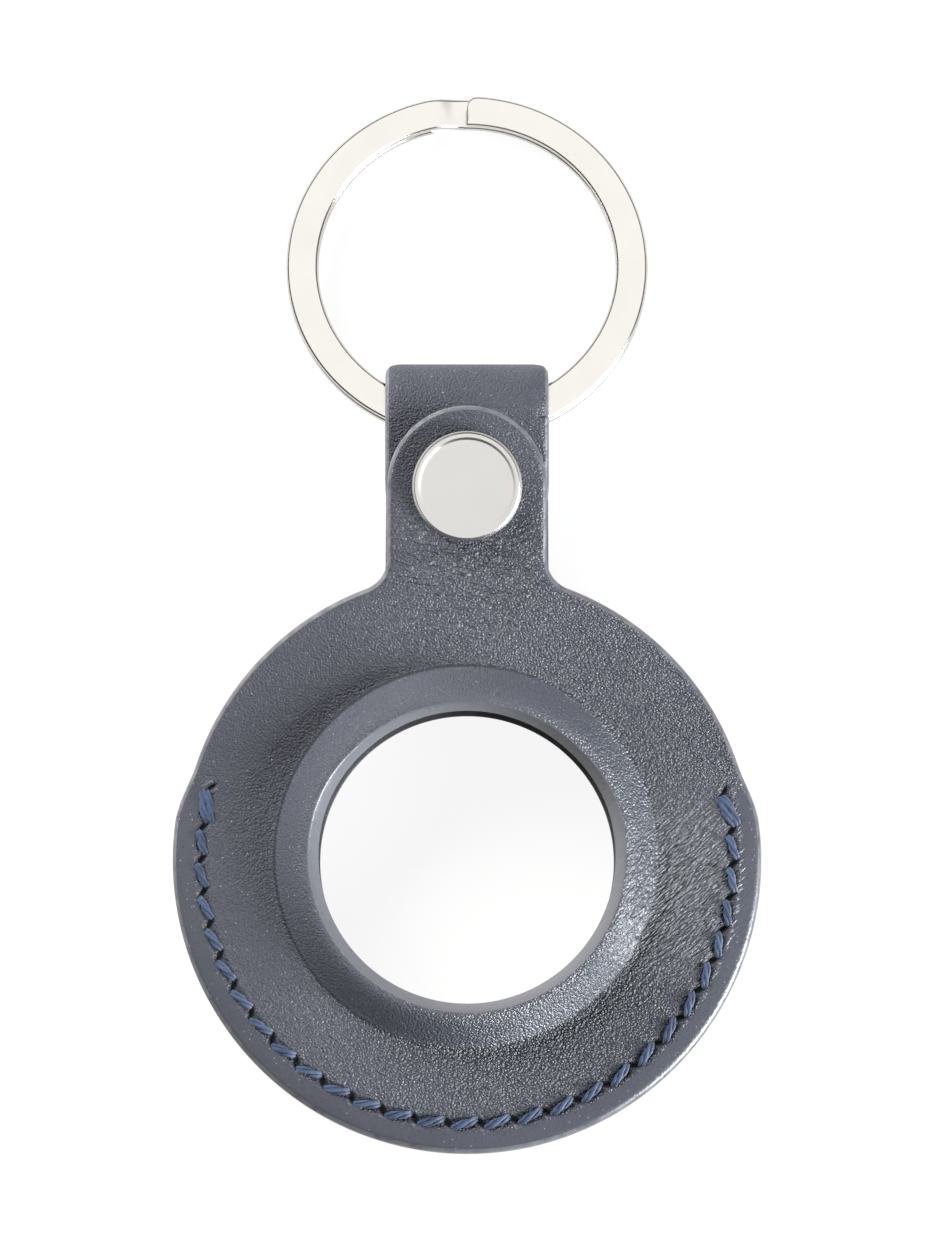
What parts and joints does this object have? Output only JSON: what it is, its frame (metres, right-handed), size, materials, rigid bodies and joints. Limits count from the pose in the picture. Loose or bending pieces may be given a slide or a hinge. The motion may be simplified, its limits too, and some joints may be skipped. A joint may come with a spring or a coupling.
{
  "type": "tracker tag holder",
  "caption": "Round leather holder for a tracker tag: a sewn pocket with a moulded window rim, a snap tab and a strap folded round a split ring.",
  "frame": {"origin": "centre of the window, on the surface that the holder lies on with its front up", "axes": "+Z out of the front, +Y from the window towards the split ring, +X to the right"},
  "size_m": [0.0532, 0.0984, 0.0135],
  "materials": {
    "leather": "dark slate smooth leather with a fine pebbled grain and painted edges",
    "thread": "twisted blue polyester thread",
    "nickel": "polished nickel plate",
    "spring_steel": "drawn wire"
  },
  "bodies": {
    "holder": {"back_panel": "leather", "front_panel": "leather", "needle_thread": "thread", "bobbin_thread": "thread"},
    "front_leaf": {"front_leaf": "leather", "snap_cap": "nickel", "snap_socket": "nickel", "socket_spring": "spring_steel"},
    "strap_end": {"strap_end": "leather", "snap_stud": "nickel", "snap_post": "nickel"},
    "key_ring": {"split_ring": "nickel"}
  },
  "joints": [
    {"name": "leaf_lift", "type": "hinge", "parent": "holder", "child": "front_leaf", "pos_m": [0, 0.007, 0.0085], "axis": [1, 0, 0], "range_deg": [0, 70], "deforming": ["socket_spring"]},
    {"name": "strap_unfold", "type": "hinge", "parent": "holder", "child": "strap_end", "pos_m": [0, 0.03974, 0.00883], "axis": [-1, 0, 0], "range_deg": [0, 84]},
    {"name": "ring_swing", "type": "hinge", "parent": "holder", "child": "key_ring", "pos_m": [0, 0.041, 0.0045], "axis": [1, 0, 0], "range_deg": [-80, 100]}
  ],
  "couplings": [
    {"joint": "strap_unfold", "follows": "leaf_lift", "ratio": 1.2}
  ]
}
